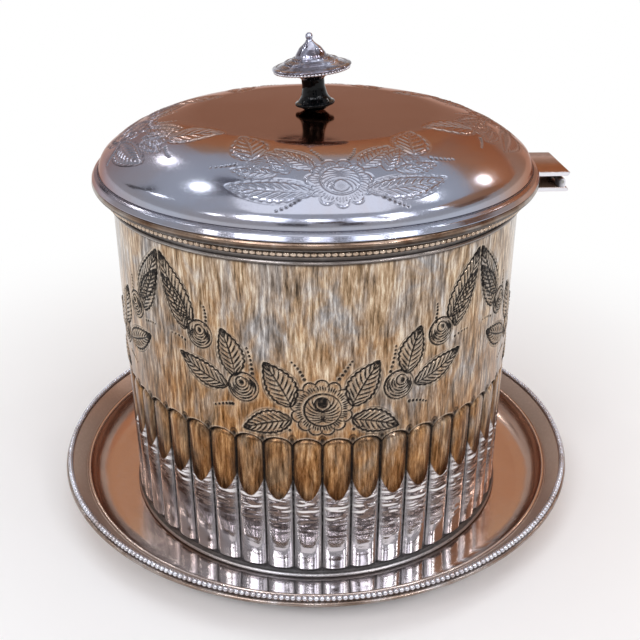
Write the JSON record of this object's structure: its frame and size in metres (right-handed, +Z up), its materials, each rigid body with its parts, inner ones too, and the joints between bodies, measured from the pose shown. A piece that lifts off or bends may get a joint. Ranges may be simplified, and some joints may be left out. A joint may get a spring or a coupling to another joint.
{
  "type": "biscuit box",
  "caption": "Round silver-plated biscuit box with a hinged domed lid, fluted drum, garlands and a fixed dished tray.",
  "frame": {"origin": "middle of the tray's underside, on the surface that the object stands on", "axes": "+Z up along the drum's axis, +X towards the hinge, -Y towards the front"},
  "size_m": [0.23, 0.23, 0.1994],
  "materials": {
    "tray_silver": "polished, aged silver plate on nickel silver",
    "tray_wire_silver": "polished silver plate, dark between the beads",
    "drum_silver": "polished, aged silver plate with chased flutes and garlands",
    "drum_wire_silver": "polished silver plate, dark between the beads",
    "inside_silver": "satin silver plate",
    "hinge_silver": "polished silver plate on a casting",
    "hinge_steel": "drawn wire",
    "lid_wire_silver": "polished silver plate",
    "lid_silver": "polished, aged silver plate with chased sprays",
    "finial_silver": "polished silver plate on a casting",
    "stem_black": "glossy black finish over a metal core",
    "fixing_brass": "plain turned brass"
  },
  "bodies": {
    "box": {"tray_dish": "tray_silver", "tray_edge_wire": "tray_wire_silver", "tray_bead_wire": "tray_wire_silver", "base_wire": "drum_wire_silver", "drum_wall": "drum_silver", "drum_floor": "inside_silver", "mouth_edge_wire": "drum_wire_silver", "mouth_band": "drum_wire_silver", "mouth_bead_wire": "drum_wire_silver", "body_hinge_leaf": "hinge_silver", "hinge_pin": "hinge_steel"},
    "lid": {"lid_hinge_leaf": "hinge_silver", "lid_rim_wire": "lid_wire_silver", "lid_dome": "lid_silver", "lid_bezel": "inside_silver", "finial_stem": "stem_black", "finial_canopy": "finial_silver", "finial_bead_wire": "finial_silver", "finial_tip": "finial_silver", "finial_stud": "fixing_brass", "finial_washer": "fixing_brass", "finial_nut": "fixing_brass"}
  },
  "joints": [
    {"name": "lid_hinge", "type": "hinge", "parent": "box", "child": "lid", "pos_m": [0.1, 0, 0.1415], "axis": [0, 1, 0], "range_deg": [0, 92]}
  ]
}
